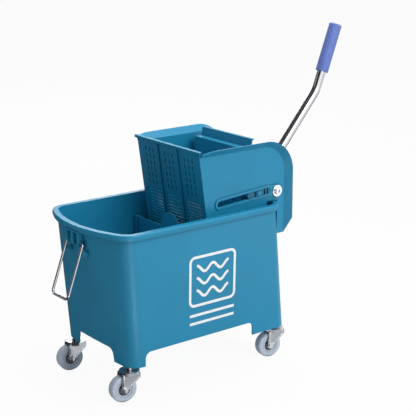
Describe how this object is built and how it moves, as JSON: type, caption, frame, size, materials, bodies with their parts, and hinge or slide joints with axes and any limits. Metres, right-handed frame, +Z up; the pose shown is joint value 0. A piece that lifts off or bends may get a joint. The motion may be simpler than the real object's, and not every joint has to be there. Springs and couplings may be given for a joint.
{
  "type": "mop bucket trolley",
  "caption": "Plastic mop bucket on swivel casters with a dividing wall, a wire bail and a lever-worked side-press wringer hung on its rear edge.",
  "frame": {"origin": "on the floor under the middle of the trolley's overall length and width", "axes": "+X along the trolley towards the lever end, +Y across it, +Z up"},
  "size_m": [0.6827, 0.255, 0.6369],
  "materials": {
    "teal_plastic": "satin moulded polypropylene, teal blue",
    "zinc": "bright zinc plate",
    "chrome": "polished chrome plate",
    "tyre": "matt grey rubber",
    "hub": "matt grey plastic",
    "grip": "soft textured plastic, violet blue",
    "nylon": "matt grey nylon"
  },
  "bodies": {
    "bucket": {"bucket": "teal_plastic", "divider": "teal_plastic", "caster_fl_stem": "zinc", "caster_fr_stem": "zinc", "caster_rl_stem": "zinc", "caster_rr_stem": "zinc"},
    "wringer": {"wringer_side_left": "teal_plastic", "wringer_side_right": "teal_plastic", "strainer_front": "teal_plastic", "basket_floor": "teal_plastic", "rear_panel": "teal_plastic", "pivot_axle": "zinc", "pivot_washers": "zinc", "pivot_nut": "zinc", "pivot_spacers": "nylon"},
    "lever": {"yoke_arm_left": "zinc", "yoke_arm_right": "zinc", "yoke_bushes": "nylon", "yoke_cross_tube": "chrome", "drive_pins": "zinc", "lever_tube": "chrome", "lever_grip": "grip"},
    "press": {"press_plate": "teal_plastic", "press_arm_left": "teal_plastic", "press_arm_right": "teal_plastic", "guide_shoe_left": "teal_plastic", "guide_shoe_right": "teal_plastic", "shoe_screws": "teal_plastic"},
    "bail": {"bail_handle": "chrome"},
    "caster_fl": {"caster_fl_fork": "zinc", "caster_fl_axle": "zinc"},
    "wheel_fl": {"caster_fl_hub": "hub", "caster_fl_tyre": "tyre"},
    "caster_fr": {"caster_fr_fork": "zinc", "caster_fr_axle": "zinc"},
    "wheel_fr": {"caster_fr_hub": "hub", "caster_fr_tyre": "tyre"},
    "caster_rl": {"caster_rl_fork": "zinc", "caster_rl_axle": "zinc"},
    "wheel_rl": {"caster_rl_hub": "hub", "caster_rl_tyre": "tyre"},
    "caster_rr": {"caster_rr_fork": "zinc", "caster_rr_axle": "zinc"},
    "wheel_rr": {"caster_rr_hub": "hub", "caster_rr_tyre": "tyre"}
  },
  "joints": [
    {"name": "wringer_lift", "type": "slide", "parent": "bucket", "child": "wringer", "axis": [0, 0, 1], "range_m": [0, 0.12]},
    {"name": "lever_pull", "type": "hinge", "parent": "wringer", "child": "lever", "pos_m": [0.0892, 0, 0.3409], "axis": [0, -1, 0], "range_deg": [0, 75]},
    {"name": "press_travel", "type": "slide", "parent": "wringer", "child": "press", "axis": [-0.9976, 0, -0.0698], "range_m": [0, 0.0721]},
    {"name": "bail_swing", "type": "hinge", "parent": "bucket", "child": "bail", "pos_m": [-0.30294, 0, 0.2909], "axis": [0, 1, 0], "range_deg": [0, 120]},
    {"name": "caster_fl_swivel", "type": "hinge", "parent": "bucket", "child": "caster_fl", "pos_m": [-0.2533, -0.092, 0.0659], "axis": [0, 0, 1], "continuous": true},
    {"name": "wheel_fl_roll", "type": "hinge", "parent": "caster_fl", "child": "wheel_fl", "pos_m": [-0.26709, -0.08957, 0.025], "axis": [0.1736, 0.9848, 0], "continuous": true},
    {"name": "caster_fr_swivel", "type": "hinge", "parent": "bucket", "child": "caster_fr", "pos_m": [-0.2533, 0.092, 0.0659], "axis": [0, 0, 1], "continuous": true},
    {"name": "wheel_fr_roll", "type": "hinge", "parent": "caster_fr", "child": "wheel_fr", "pos_m": [-0.26709, 0.09443, 0.025], "axis": [0.1736, 0.9848, 0], "continuous": true},
    {"name": "caster_rl_swivel", "type": "hinge", "parent": "bucket", "child": "caster_rl", "pos_m": [0.0942, -0.092, 0.0659], "axis": [0, 0, 1], "continuous": true},
    {"name": "wheel_rl_roll", "type": "hinge", "parent": "caster_rl", "child": "wheel_rl", "pos_m": [0.08041, -0.08957, 0.025], "axis": [0.1736, 0.9848, 0], "continuous": true},
    {"name": "caster_rr_swivel", "type": "hinge", "parent": "bucket", "child": "caster_rr", "pos_m": [0.0942, 0.092, 0.0659], "axis": [0, 0, 1], "continuous": true},
    {"name": "wheel_rr_roll", "type": "hinge", "parent": "caster_rr", "child": "wheel_rr", "pos_m": [0.08041, 0.09443, 0.025], "axis": [0.1736, 0.9848, 0], "continuous": true}
  ],
  "couplings": [
    {"joint": "press_travel", "follows": "lever_pull", "m_per_rad": 0.055004}
  ]
}
